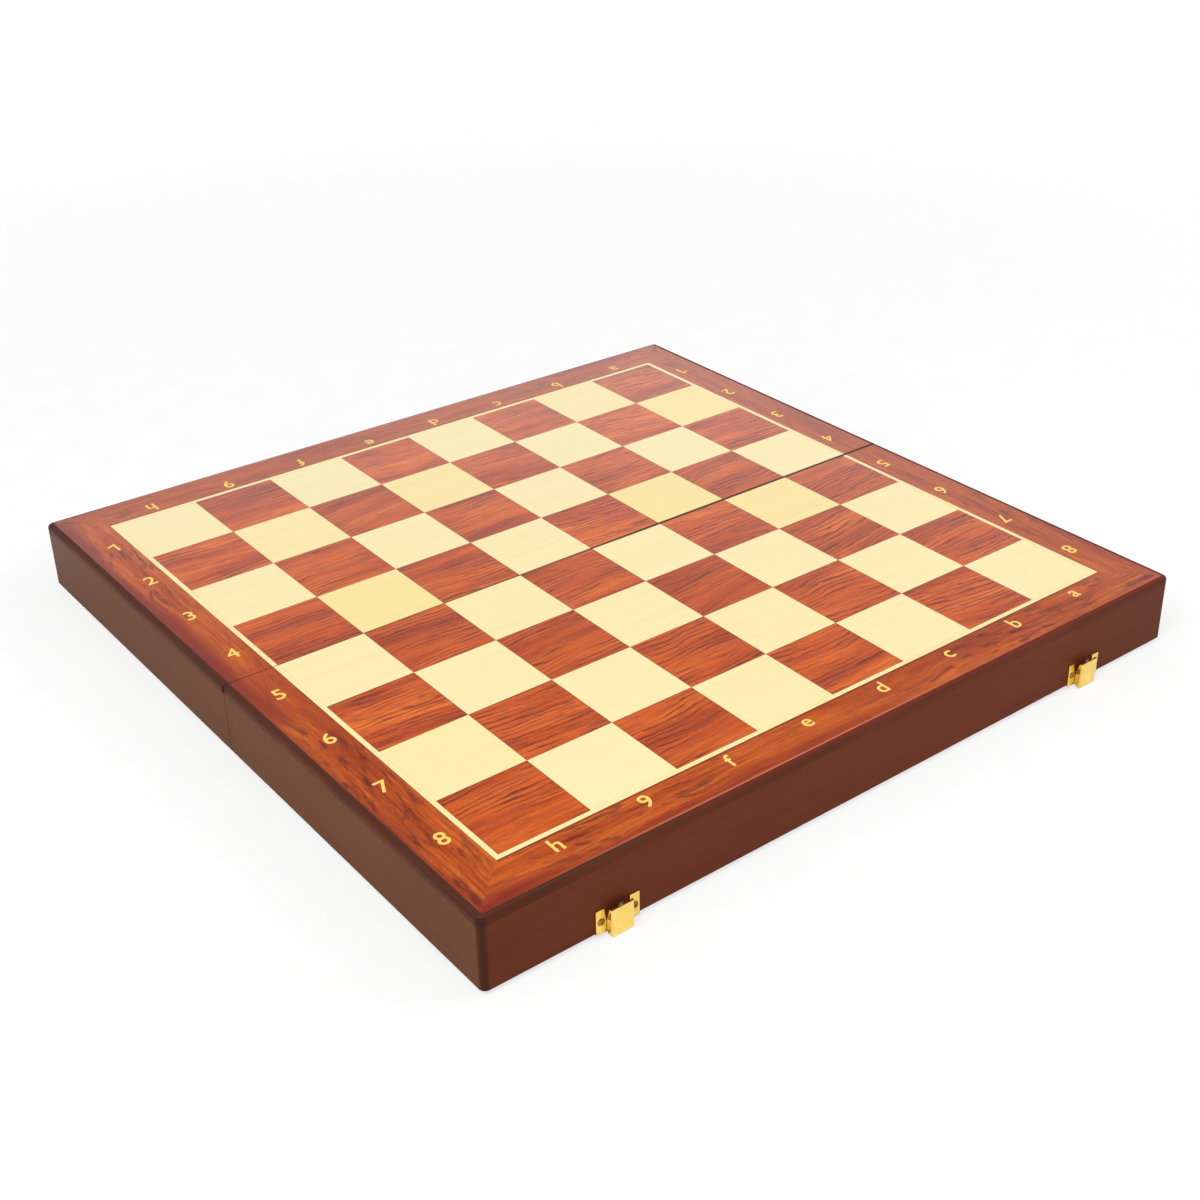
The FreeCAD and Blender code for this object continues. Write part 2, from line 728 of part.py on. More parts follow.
keeper = cut("keeper", joined("keeper_blank", [plate] + tongue_pieces), plate_holes)
for hand, x in clasp_places.items():
    turned_keeper = put(group(f"keeper_{hand}", [keeper]), x, f"-{outer_face}", rotation=HALF_TURN)
    node(turned_keeper, f"{hand}_keeper")

# Both halves: the same woodwork, once as drawn and once turned. Turning swaps left and right.
for half, turn, hands in (
    ("front", None, {"left": "left", "right": "right"}),
    ("back", HALF_TURN, {"left": "right", "right": "left"}),
):
    end_board = shared(f"{half}_end_board", walls["end"], wall_form)
    node(cut(f"{half}_end", end_board, end_wall_holes), f"{half}_end_wall", turn)
    node(shared(f"{half}_edge", borders["end"], top_form), f"{half}_border_end", turn)
    for drawn, hand in hands.items():
        node(shared(f"{half}_wall_{drawn}", walls[drawn], wall_form), f"{half}_{hand}_wall", turn)
        border = shared(f"{half}_edge_{drawn}", borders[drawn], top_form)
        node(border, f"{half}_border_{hand}", turn)
    node(cut(f"{half}_seam", seam_board, mortises), f"{half}_seam_wall", turn)
    node(shared(f"{half}_core", core_sheet, top_form), f"{half}_core_panel", turn)
    node(group(f"{half}_lines", list(lines.values())), f"{half}_stringing", turn)
    for shade, pieces in squares.items():
        node(group(f"{half}_{shade}", pieces), f"{half}_{shade}_squares", turn)
    node(group(f"{half}_felt", [lining_sheet]), f"{half}_lining", turn)
    node(group(f"{half}_hinge_fixings", hinge_screws), f"{half}_hinge_screws", turn)
node(group("clasp_fixings", plate_screws), "clasp_screws")
node(group("keeper_fixings", plate_screws), "keeper_screws", HALF_TURN)

doc.recompute()
for thing in doc.Objects:
    if {"Invalid", "Error"} & set(thing.State):
        raise RuntimeError(f"{thing.Name} failed: {thing.State}")
for piece in nodes:
    if piece.Shape.isNull() or not piece.Shape.isValid() or not piece.Shape.Solids:
        raise RuntimeError(f"{piece.Label} has no valid solid")

os.makedirs("parts", exist_ok=True)
for piece in nodes:
    solids = piece.Shape.Solids
    whole = solids[0] if len(solids) == 1 else Part.Compound(solids)
    whole.exportStep(os.path.join("parts", f"{piece.Label}.step"))
    print(piece.Label, len(solids), round(whole.Volume, 2))
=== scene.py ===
# %% [markdown]
# # Finishing a folding game board
#
# The board is two shallow wooden trays, hinged together at the fold. Laid out flat, their veneered
# tops make a field of eight by eight squares. Folded, they close into a case. The solids of all
# the pieces are loaded first, as a frame that nothing here moves or resizes. What this lesson adds
# is what a finisher adds in the workshop: grain, lacquer, plating, printed signs and the felt
# inside.

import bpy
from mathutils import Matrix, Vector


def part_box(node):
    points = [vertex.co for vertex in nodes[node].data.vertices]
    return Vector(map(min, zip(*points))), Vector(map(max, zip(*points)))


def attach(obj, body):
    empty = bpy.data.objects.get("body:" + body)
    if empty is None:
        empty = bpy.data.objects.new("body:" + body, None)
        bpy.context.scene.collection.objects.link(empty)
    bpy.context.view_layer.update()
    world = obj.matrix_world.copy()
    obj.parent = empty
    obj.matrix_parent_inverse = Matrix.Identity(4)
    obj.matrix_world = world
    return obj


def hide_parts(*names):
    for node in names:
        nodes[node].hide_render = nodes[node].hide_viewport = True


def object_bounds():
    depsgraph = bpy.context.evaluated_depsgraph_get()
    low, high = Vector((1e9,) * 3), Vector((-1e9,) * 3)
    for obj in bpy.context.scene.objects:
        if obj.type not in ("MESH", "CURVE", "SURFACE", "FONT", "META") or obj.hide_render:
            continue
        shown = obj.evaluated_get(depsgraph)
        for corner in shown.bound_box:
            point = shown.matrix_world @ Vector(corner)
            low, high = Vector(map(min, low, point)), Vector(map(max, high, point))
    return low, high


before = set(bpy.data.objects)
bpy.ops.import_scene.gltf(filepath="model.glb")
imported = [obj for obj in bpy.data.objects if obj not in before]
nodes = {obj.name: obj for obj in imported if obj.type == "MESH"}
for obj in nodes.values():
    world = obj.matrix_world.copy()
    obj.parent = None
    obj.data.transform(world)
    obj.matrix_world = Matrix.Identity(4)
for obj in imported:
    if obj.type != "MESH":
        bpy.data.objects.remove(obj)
cad_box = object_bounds()

# %% [markdown]
# ## Measuring
#
# Everything below is placed by what the frame measures, so the looks follow if the board is made
# larger. The field of squares gives the side of one square, the gap at the fold and the level of
# the playing surface. The end wall gives the outline, the flat part of a border strip shows how
# far in the rounding of the edge begins, and the pale line shows how wide the border is. All
# lengths are in metres.

# %% Measure the board
import math

import bpy
from mathutils import Matrix, Vector

FILES = 8
HALVES = ("front", "back")
HANDS = ("left", "right")
HAIR = 0.00001
squares_low, squares_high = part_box("front_dark_squares")
wall_low, wall_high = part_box("front_end_wall")
side = (squares_high.x - squares_low.x) / FILES
half_gap = -squares_high.y
play_level = squares_high.z
field_x, field_y = squares_high.x, -squares_low.y
half_width, outer_y = wall_high.x, -wall_low.y
strip = nodes["front_border_end"].data.vertices
flat_y = max(-corner.co.y for corner in strip if corner.co.z > play_level - HAIR)
rounding = outer_y - flat_y
border_width = half_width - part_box("front_stringing")[1].x
print(f"square {side:.5f}, gap {2 * half_gap:.5f}, rounding {rounding:.5f}")
print(f"border {border_width:.5f}")

# %% [markdown]
# ## Shaders written as sums
#
# Every finish is a tree of nodes. Wiring such a tree by hand is fine in the editor, but in a
# script it hides what is meant. So one small class wraps a socket: arithmetic on it adds Math
# nodes, and its add method adds a node of any other kind, with its settings first and then its
# sockets.


# %% A socket with arithmetic
class Wire:
    """A socket of a node tree. Sums of wires and numbers add Math nodes to that tree."""

    def __init__(self, tree, socket=None):
        self.tree = tree
        self.socket = socket

    def add(self, kind, settings=None, sockets=None, output=0):
        """Adds a node: its settings are set first, then the values or links of its sockets."""
        node = self.tree.nodes.new(kind)
        for name, value in (settings or {}).items():
            if name == "stops":
                for _ in value[2:]:
                    node.color_ramp.elements.new(1)
                for stop, (position, colour) in zip(node.color_ramp.elements, value):
                    stop.position = position
                    stop.color = (*colour, 1)
            else:
                setattr(node, name, value)
        for key, value in (sockets or {}).items():
            if isinstance(value, Wire):
                self.tree.links.new(value.socket, node.inputs[key])
            else:
                node.inputs[key].default_value = value
        return Wire(self.tree, node.outputs[output] if node.outputs else None)

    def math(self, operation, first, second=0.0):
        return self.add("ShaderNodeMath", {"operation": operation}, {0: first, 1: second})

    def __add__(self, other):
        return self.math("ADD", self, other)

    def __sub__(self, other):
        return self.math("SUBTRACT", self, other)

    def __rsub__(self, other):
        return self.math("SUBTRACT", other, self)

    def __mul__(self, other):
        return self.math("MULTIPLY", self, other)

    def __truediv__(self, other):
        return self.math("DIVIDE", self, other)

    __radd__ = __add__
    __rmul__ = __mul__


def new_finish(name):
    """An empty material, and the place of each point on its piece in metres."""
    material = bpy.data.materials.new(name)
    material.use_nodes = True
    material.node_tree.nodes.clear()
    place = Wire(material.node_tree).add("ShaderNodeTexCoord", output="Object")
    return material, place


def dress(material, *names):
    """Gives the finish to pieces of the frame."""
    for name in names:
        nodes[name].data.materials.clear()
        nodes[name].data.materials.append(material)
    print(material.name, "on", len(names), "pieces")


# %% [markdown]
# ## Tools for wood
#
# Wood is drawn out along its grain, so a noise becomes grain when its place is stretched: few
# cells per metre along the grain, many across. A ramp turns noise into tones, and a soft threshold
# picks the dark lines out of it. These few helpers serve every veneer on the board. One of them
# paints shade on the cut edges at the fold, where the gap between the halves lies in shadow, so
# that the fold reads as a line.


# %% Grain helpers
def axis(place, name):
    return place.add("ShaderNodeSeparateXYZ", sockets={0: place}, output=name)


def single(value, operation):
    return value.math(operation, value)


def least(first, second):
    return first.math("MINIMUM", first, second)


def moved(place, step):
    return place.add("ShaderNodeVectorMath", {"operation": "ADD"}, {0: place, 1: step})


def stretch(place, along, across):
    """Counts cells per metre along the grain, which is the first axis, and across it."""
    cells = (along, across, across)
    return place.add("ShaderNodeVectorMath", {"operation": "MULTIPLY"}, {0: place, 1: cells})


def turned(place, degrees):
    """Turns the place about the upright axis, so that grain runs another way."""
    turn = (0, 0, math.radians(degrees))
    return place.add("ShaderNodeMapping", sockets={"Vector": place, "Rotation": turn})


def noise(place, detail=3.0, roughness=0.55, distortion=0.0):
    sockets = {"Vector": place, "Scale": 1.0, "Detail": detail, "Roughness": roughness,
               "Distortion": distortion}
    return place.add("ShaderNodeTexNoise", sockets=sockets)


def smooth(value, low, high):
    """Nought below low, one above high, and a smooth step between them."""
    limits = {0: value, 1: low, 2: high}
    return value.add("ShaderNodeMapRange", {"interpolation_type": "SMOOTHSTEP"}, limits)


def ramp(value, *stops):
    return value.add("ShaderNodeValToRGB", {"stops": stops}, {0: value})


def mix(factor, first, second, way="MIX"):
    """Mixes two colours. The factor and the colours are wires or plain numbers."""
    wires = [part for part in (factor, first, second) if isinstance(part, Wire)]
    colours = [part if isinstance(part, Wire) else (*part, 1) for part in (first, second)]
    settings = {"data_type": "RGBA", "blend_type": way}
    return wires[0].add("ShaderNodeMix", settings, {0: factor, 6: colours[0], 7: colours[1]}, 2)


def tinted(colour, tint):
    return mix(1.0, colour, tint, "MULTIPLY")


# painted shade: the gap at the fold lies in shadow, so its cut edges are painted dark
SEAM_SHADE = (0.07, 0.016, 0.009)
LEAST_SEAM_SHADE = 0.0001
WIDER_SEAM_SHADE = 0.0009


def seam_shaded(colour, place):
    """Paints shade along the fold's gap, more of it to the right, where the fold stands open.

    Returns the colour, and how much of the clear film is left over it.
    """
    opened = smooth(axis(place, "X"), -0.6 * field_x, 0.3 * field_x)
    width = LEAST_SEAM_SHADE + WIDER_SEAM_SHADE * opened
    near = single(axis(place, "Y"), "ABSOLUTE") - half_gap
    # painted shade in the gap at the fold; the clear film is left off it
    gap_shade = (1 - smooth(near / width, 0.5, 1.0)) * (0.5 + 0.45 * opened)
    return mix(gap_shade, colour, SEAM_SHADE), 1 - gap_shade


FILM_ROUGHNESS = 0.2


def lacquered(material, colour, roughness, relief, depth, sheen, coat):
    """Ends a wood finish: grain relief under a clear coat that lies smooth over it."""
    height = {"Strength": 1.0, "Distance": depth, "Height": relief}
    shader = colour.add(
        "ShaderNodeBsdfPrincipled",
        sockets={
            "Base Color": colour,
            "Roughness": roughness,
            "Normal": colour.add("ShaderNodeBump", sockets=height),
            "Specular IOR Level": sheen,
            "Coat Weight": coat,
            "Coat Roughness": FILM_ROUGHNESS,
        },
    )
    shader.add("ShaderNodeOutputMaterial", sockets={"Surface": shader})
    return material


# %% [markdown]
# ## Reddish veneer
#
# The dark squares and the border are a streaked reddish hardwood, cut thin. A picture of the wood
# would repeat, so it is grown from noise instead. A slow noise sways the grain sideways, as a
# tree's rings sway round a knot. A sine across the swayed grain draws the rings, a second noise
# lets them fade in and out, and finer noises add cloudy dark figure, striations and the dashes of
# open pores.

# %% Reddish veneer
DEEP_RED = (0.47, 0.062, 0.008)
RED_BROWN = (0.66, 0.106, 0.010)
ORANGE_BROWN = (0.79, 0.160, 0.016)
RING_INK = (0.17, 0.022, 0.008)
FIGURE_INK = (0.12, 0.020, 0.016)
STRIATION_DARK = (0.72, 0.66, 0.60)
STRIATION_LIGHT = (1.12, 1.14, 1.16)
PORE_DARKNESS = 0.45
RINGS_PER_METRE = 340
RING_WANDER = 2.6
FIGURE_SLANT = 9
VENEER_SWAY = 0.012


def swayed(grain, sway):
    """Bends the grain sideways by up to half the sway, in metres, either way."""
    slow = noise(stretch(grain, 16, 26), detail=1.5)
    aside = grain.add("ShaderNodeCombineXYZ", sockets={"Y": (slow - 0.5) * sway})
    return moved(grain, aside)


def red_veneer(grain, rings, figure):
    """Colour and relief. Rings and figure say how strong the dark lines and clouds are."""
    flow = swayed(grain, VENEER_SWAY)
    bands = noise(stretch(flow, 8, 85), detail=3)
    wander = noise(stretch(flow, 30, 130), detail=3)
    wave = single((axis(flow, "Y") * RINGS_PER_METRE + wander * RING_WANDER) * math.tau, "SINE")
    fading = smooth(noise(stretch(flow, 26, 100), detail=2), 0.40, 0.58)
    ring = smooth(wave, 0.35, 0.95) * fading
    slanted = stretch(turned(flow, FIGURE_SLANT), 62, 280)
    cloud = smooth(noise(slanted, detail=4, roughness=0.6, distortion=0.4), 0.50, 0.66)
    striation = noise(stretch(flow, 45, 1000), detail=3, roughness=0.65)
    pore = smooth(noise(stretch(flow, 110, 1900), detail=1), 0.56, 0.68)
    tone = ramp(bands, (0.34, DEEP_RED), (0.50, RED_BROWN), (0.66, ORANGE_BROWN))
    tone = mix(ring * rings, tone, RING_INK)
    tone = mix(cloud * figure, tone, FIGURE_INK)
    tone = tinted(tone, ramp(striation, (0.30, STRIATION_DARK), (0.66, STRIATION_LIGHT)))
    return mix(pore * PORE_DARKNESS, tone, RING_INK), striation - ring * 0.5 - pore


# %% [markdown]
# ## Dark squares
#
# The squares were punched out of different places in the veneer, so no two match. The row and the
# file of a square number its cell, and white noise on that number gives each cell its own chance:
# it shifts the grain, slants it by a few degrees and sets how dark the square is. Where squares
# meet, a knife line filled with glue shows as a thin dark edge.

# %% Dark squares
KNIFE_LINE = 0.00045
KNIFE_DARKNESS = 0.7
SQUARE_SLANT = 0.24  # radians, half of it either way
SQUARE_DARK = (0.88, 0.86, 0.86)
SQUARE_LIGHT = (1.08, 1.10, 1.10)
LACQUER_RELIEF = 0.00003
LACQUER_ROUGHNESS = 0.24
GRAIN_SHINE = 0.04
TOP_SHEEN = 0.5
FILM = 0.85


def square_of(place):
    """For each square: a random value, a random vector, and the distance to its edge."""
    y = axis(place, "Y")
    across = axis(place, "X") / side
    along = (y - single(y, "SIGN") * half_gap) / side
    cell = place.add("ShaderNodeCombineXYZ",
                     sockets={"X": single(across, "FLOOR"), "Y": single(along, "FLOOR")})
    chance, shift = [
        place.add("ShaderNodeTexWhiteNoise", {"noise_dimensions": "2D"}, {"Vector": cell}, output)
        for output in ("Value", "Color")
    ]
    edge = least(across.math("PINGPONG", across, 0.5), along.math("PINGPONG", along, 0.5)) * side
    return chance, shift, edge


def dark_square_finish():
    material, place = new_finish("dark_veneer")
    chance, shift, edge = square_of(place)
    grain = place.add("ShaderNodeVectorRotate", {"rotation_type": "Z_AXIS"},
                      {"Vector": moved(place, shift), "Angle": (chance - 0.5) * SQUARE_SLANT})
    colour, relief = red_veneer(grain, rings=0.8, figure=0.45 * chance)
    colour = tinted(colour, ramp(chance, (0.0, SQUARE_DARK), (1.0, SQUARE_LIGHT)))
    colour = mix((1 - smooth(edge, 0.0, KNIFE_LINE)) * KNIFE_DARKNESS, colour, RING_INK)
    colour, kept = seam_shaded(colour, place)
    roughness = LACQUER_ROUGHNESS - GRAIN_SHINE * relief
    return lacquered(material, colour, roughness, relief, LACQUER_RELIEF, TOP_SHEEN, FILM * kept)


dress(dark_square_finish(), *[f"{half}_dark_squares" for half in HALVES])

# %% [markdown]
# ## Border strips
#
# The border is the same veneer in long mitred strips, each with its grain running lengthwise, so
# the side strips turn the pattern a quarter round. The strips are darker than the squares, with
# dark clouds here and there, and the stain reddens towards the outside, most of all on the left.
# The rounding of the edge is sprayed over without a clear film, brown on the left and more crimson
# to the right. Along the ends, a thin pale line at the start of that rounding is a painted
# highlight.

# %% Border strips
BORDER_TINT = (0.79, 0.83, 1.0)
BORDER_SHEEN = 0.2
CRIMSON = (0.22, 0.020, 0.012)
CRIMSON_BLOTCH = 0.006
# painted highlight: a thin pale line where the rounding of the edge begins
EDGE_HIGHLIGHT = (0.62, 0.175, 0.090)
EDGE_HIGHLIGHT_STRENGTH = 0.7
EDGE_HIGHLIGHT_FADE = (0.0005, 0.0012)
EDGE_BROWN = (0.074, 0.020, 0.009)
EDGE_CRIMSON = (0.130, 0.012, 0.007)
EDGE_ROUGHNESS = 0.3
SPRAY_BLUR = 0.0001


def insets(place):
    """The distances from the board's outer faces, at the sides and at the ends."""
    from_side = half_width - single(axis(place, "X"), "ABSOLUTE")
    from_end = outer_y - single(axis(place, "Y"), "ABSOLUTE")
    return from_side, from_end


def border_finish(name, degrees):
    material, place = new_finish(name)
    inset = least(*insets(place))
    across = axis(place, "X") / half_width
    on_left = 1 - smooth(across, -0.95, -0.75)
    rightward = smooth(across, -0.7, 0)
    highlight_reach = smooth(across, -0.9, -0.5) * (1 - smooth(across, 0, 0.7))
    grain = turned(place, degrees)
    patches = smooth(noise(stretch(grain, 9, 30), detail=1), 0.42, 0.62)
    colour, relief = red_veneer(grain, rings=0.35, figure=0.15 + 0.6 * patches)
    colour = tinted(colour, BORDER_TINT)
    blotched = inset + (patches - 0.5) * CRIMSON_BLOTCH
    reddened = 1 - smooth(blotched, rounding, 0.5 * border_width)
    colour = mix(reddened * (0.25 + 0.55 * on_left), colour, CRIMSON)
    flat = smooth(inset, rounding - SPRAY_BLUR, rounding + SPRAY_BLUR)
    # painted highlight on the start of the rounding, mostly along the ends
    highlight_line = flat * (1 - smooth(inset, *[rounding + fade for fade in EDGE_HIGHLIGHT_FADE]))
    colour = mix(highlight_line * highlight_reach * EDGE_HIGHLIGHT_STRENGTH, colour, EDGE_HIGHLIGHT)
    colour = mix(1 - flat, colour, mix(rightward, EDGE_BROWN, EDGE_CRIMSON))
    joint = 1 - smooth(border_width - inset, 0.0, KNIFE_LINE)
    colour = mix(joint * KNIFE_DARKNESS, colour, RING_INK)
    colour, kept = seam_shaded(colour, place)
    roughness = LACQUER_ROUGHNESS - GRAIN_SHINE * relief + EDGE_ROUGHNESS * (1 - flat)
    film = flat * kept
    return lacquered(material, colour, roughness, relief, LACQUER_RELIEF, BORDER_SHEEN, film)


dress(border_finish("border_veneer_across", 0), *[f"{half}_border_end" for half in HALVES])
dress(border_finish("border_veneer_along", 90),
      *[f"{half}_border_{hand}" for half in HALVES for hand in HANDS])

# %% [markdown]
# ## Pale veneer
#
# The light squares and the line round the field are a cream coloured wood with hardly any figure.
# One flat colour would look like paper, so there is a faint straight grain, and each square gets
# its own slight tint between ivory and straw.

# %% Pale veneer
IVORY = (0.94, 0.80, 0.43)
STRAW = (0.94, 0.755, 0.33)
PALE_EDGE = (0.62, 0.42, 0.18)
PALE_LINE = (0.975, 0.965, 0.945)
PALE_BETWEEN = (1.0, 1.0, 1.0)
PALE_KNIFE_DARKNESS = 0.4
FLECK_DARKNESS = 0.12
PALE_SWAY = 0.006
PALE_RELIEF = 0.00002
PALE_ROUGHNESS = 0.25


def pale_finish(name, degrees, chequered):
    material, place = new_finish(name)
    grain = turned(place, degrees)
    tint = noise(stretch(grain, 4, 30), detail=2)
    if chequered:
        chance, shift, edge = square_of(place)
        grain = moved(grain, shift)
        tint = smooth(chance, 0.6, 1.0)
    flow = swayed(grain, PALE_SWAY)
    lines = noise(stretch(flow, 14, 420), detail=3)
    flecks = noise(stretch(flow, 220, 2200), detail=2)
    colour = tinted(mix(tint, IVORY, STRAW),
                    ramp(lines, (0.36, PALE_LINE), (0.60, PALE_BETWEEN)))
    colour = mix(smooth(flecks, 0.62, 0.76) * FLECK_DARKNESS, colour, PALE_EDGE)
    if chequered:
        knife = 1 - smooth(edge, 0.0, KNIFE_LINE)
        colour = mix(knife * PALE_KNIFE_DARKNESS, colour, PALE_EDGE)
    colour, kept = seam_shaded(colour, place)
    roughness = PALE_ROUGHNESS - GRAIN_SHINE * lines
    relief = lines + flecks
    return lacquered(material, colour, roughness, relief, PALE_RELIEF, TOP_SHEEN, FILM * kept)


dress(pale_finish("light_veneer", 0, True), *[f"{half}_light_squares" for half in HALVES])
dress(pale_finish("light_line", 90, False), *[f"{half}_stringing" for half in HALVES])

# %% [markdown]
# ## Lacquered walls
#
# The walls are sprayed with a dark brown lacquer that hides most of the wood. What still shows is
# a slow drift of tone, a little grain under the film, and the soft ripple that sprayed lacquer
# dries with. The film is satin, so it mirrors less than the top does. At the upright corners the
# colour is darker. The walls at the fold are only stained.

# %% Lacquered walls
END_BROWN = (0.138, 0.030, 0.011)
END_UMBER = (0.120, 0.028, 0.011)
SIDE_BROWN = (0.142, 0.045, 0.012)
SIDE_UMBER = (0.124, 0.040, 0.012)
INNER_BROWN = (0.22, 0.075, 0.032)
INNER_UMBER = (0.16, 0.050, 0.022)
CORNER_BROWN = (0.040, 0.014, 0.009)
CORNER_DARKNESS = 0.75
WALL_LINE = (0.92, 0.90, 0.90)
WALL_BETWEEN = (1.04, 1.03, 1.03)
WALL_ROUGHNESS = 0.34
WALL_SHEEN = 0.05
INNER_SHEEN = 0.2


def wall_finish(name, degrees, dark, brown, sheen=WALL_SHEEN):
    material, place = new_finish(name)
    grain = turned(place, degrees)
    drift = noise(stretch(grain, 6, 20), detail=2)
    lines = noise(stretch(grain, 14, 400), detail=3, distortion=0.3)
    ripple = noise(stretch(place, 260, 260), detail=1)
    colour = tinted(mix(smooth(drift, 0.35, 0.65), dark, brown),
                    ramp(lines, (0.35, WALL_LINE), (0.62, WALL_BETWEEN)))
    from_corner = place.math("MAXIMUM", *insets(place))
    corner = 1 - smooth(from_corner, 0.5 * rounding, 1.4 * rounding)
    colour = mix(corner * CORNER_DARKNESS, colour, CORNER_BROWN)
    roughness = WALL_ROUGHNESS + 0.1 * drift
    relief = lines * 0.4 + ripple
    return lacquered(material, colour, roughness, relief, LACQUER_RELIEF, sheen, 0.0)


dress(wall_finish("wall_lacquer_across", 0, END_UMBER, END_BROWN),
      *[f"{half}_end_wall" for half in HALVES])
dress(wall_finish("wall_lacquer_along", 90, SIDE_UMBER, SIDE_BROWN),
      *[f"{half}_{hand}_wall" for half in HALVES for hand in HANDS])
dress(wall_finish("inner_stain", 0, INNER_UMBER, INNER_BROWN, INNER_SHEEN),
      *[f"{half}_seam_wall" for half in HALVES])
dress(wall_finish("edge_lacquer", 0, EDGE_BROWN, END_UMBER),
      *[f"{half}_core_panel" for half in HALVES])

# %% [markdown]
# ## Plated metal
#
# The clasps and hinges are pressed sheet with a bright yellow plating. Metal has no colour of its
# own apart from what it reflects, so its look is in the tint of the reflection and in how rough it
# is from place to place. The screws get a darker plating as painted shade, since their heads sit
# in shadow, and the pins and springs are plain steel.

# %% Plated metal
PLATING = (0.94, 0.70, 0.20)
PLATING_SHADE = (0.88, 0.62, 0.15)
# painted shade: a darker copy of the plating for the screw heads, which sit in shadow
SHADED_SCREW_GOLD = (0.46, 0.24, 0.06)
SHADED_SCREW_DULL = (0.30, 0.14, 0.03)
STEEL = (0.88, 0.86, 0.82)
STEEL_SHADE = (0.74, 0.72, 0.68)
SCRATCH_STRENGTH = 0.35


def metal_finish(name, bright, dull, roughness):
    material, place = new_finish(name)
    cloud = noise(stretch(place, 160, 160), detail=3)
    scratches = noise(stretch(place, 300, 5200), detail=2)
    colour = mix(smooth(cloud, 0.35, 0.75), bright, dull)
    relief = {"Strength": SCRATCH_STRENGTH, "Distance": HAIR, "Height": scratches}
    shader = colour.add(
        "ShaderNodeBsdfPrincipled",
        sockets={
            "Base Color": colour,
            "Metallic": 1.0,
            "Roughness": roughness + 0.14 * cloud,
            "Normal": colour.add("ShaderNodeBump", sockets=relief),
        },
    )
    shader.add("ShaderNodeOutputMaterial", sockets={"Surface": shader})
    return material


plated = [f"{hand}_{piece}" for hand in HANDS for piece in
          ("clasp_plate", "clasp_lever", "keeper", "hinge_front_leaf", "hinge_back_leaf")]
dress(metal_finish("plating", PLATING, PLATING_SHADE, roughness=0.16), *plated)
# the screws' darker plating is painted shade
dress(metal_finish("shaded_screw_plating", SHADED_SCREW_GOLD, SHADED_SCREW_DULL, roughness=0.3),
      "clasp_screws", "keeper_screws", "front_hinge_screws", "back_hinge_screws")
dress(metal_finish("steel", STEEL, STEEL_SHADE, roughness=0.38),
      *[f"{hand}_{piece}" for hand in HANDS for piece in
        ("clasp_pin", "clasp_spring", "hinge_pin")])

# %% [markdown]
# ## Signs on the border
#
# Files and rows are marked in gold, as on any such board: letters along the ends and numbers down
# the sides. They are stamped in foil, so each is a flat text object with a hair of thickness. The
# built-in typeface is a plain one. It is made bolder, turned into a mesh, moved so that its own
# box is centred on its place, and joined with the other signs on the same strip. Two of its shapes
# are not the foil's. The foil's g has one bowl and a hook, which is the shape of a nine. The
# foil's one has a flag, so it is a seven that leans until its stroke stands upright. The signs on
# the right and at the back are turned half round, so that the player over there can read them.

# %% Gold foil
FOIL = (0.98, 0.69, 0.17)
FOIL_SHADE = (0.90, 0.55, 0.11)


def gold_foil():
    material, place = new_finish("gold_foil")
    speckle = noise(stretch(place, 1500, 1500), detail=2)
    colour = mix(smooth(speckle, 0.40, 0.72), FOIL, FOIL_SHADE)
    shader = colour.add(
        "ShaderNodeBsdfPrincipled",
        sockets={"Base Color": colour, "Metallic": 0.1, "Roughness": 0.3 + 0.2 * speckle},
    )
    shader.add("ShaderNodeOutputMaterial", sockets={"Surface": shader})
    return material


foil = gold_foil()
print(foil.name, "is ready")

# %% Signs
SIGN_HEIGHT = 0.0079
SIGN_THICKNESS = 0.00005
SIGN_BOLDNESS = 0.012
LETTER_INSET = 0.0087
LETTER_SLIP = -0.0015
NUMBER_INSET = {"left": 0.0108, "right": 0.0100}
SIGN_CURVE_STEPS = 5
# the shape that stands for a sign, how far it leans in degrees, and its share of the size
STAND_INS = {"g": ("9", 0, 1.0), "1": ("7", 27, 0.92)}


def sign(text, scale):
    """One sign as a flat mesh, with its own box centred on the origin."""
    bpy.ops.object.select_all(action="DESELECT")
    bpy.ops.object.text_add()
    piece = bpy.context.object
    shape, lean, share = STAND_INS.get(text, (text, 0, 1.0))
    piece.data.body = shape
    piece.data.offset = SIGN_BOLDNESS
    piece.data.extrude = SIGN_THICKNESS / (scale * share)
    piece.data.resolution_u = SIGN_CURVE_STEPS
    bpy.ops.object.convert(target="MESH")
    piece.data.transform(Matrix.Rotation(math.radians(lean), 4, "Z"))
    corners = [corner.co for corner in piece.data.vertices]
    low, high = [Vector(map(limit, zip(*corners))) for limit in (min, max)]
    piece.data.transform(Matrix.Scale(scale * share, 4) @ Matrix.Translation(-(low + high) / 2))
    return piece


def strip_of_signs(name, body, places, half_round):
    """The signs on one border strip, joined to one piece."""
    turn = Matrix.Rotation(math.pi if half_round else 0, 4, "Z")
    pieces = []
    for text, (x, y) in places.items():
        piece = sign(text, sign_scale)
        piece.data.transform(Matrix.Translation((x, y, play_level)) @ turn)
        pieces.append(piece)
    bpy.ops.object.select_all(action="DESELECT")
    for piece in pieces:
        piece.select_set(True)
    bpy.context.view_layer.objects.active = pieces[0]
    bpy.ops.object.join()
    pieces[0].name = name
    pieces[0].data.materials.append(foil)
    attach(pieces[0], body)
    print(name, "has", len(places), "signs")


measure = sign("h", 1.0)
print(f"letter height {measure.dimensions.y:.4f}")
sign_scale = SIGN_HEIGHT / measure.dimensions.y
bpy.data.objects.remove(measure)

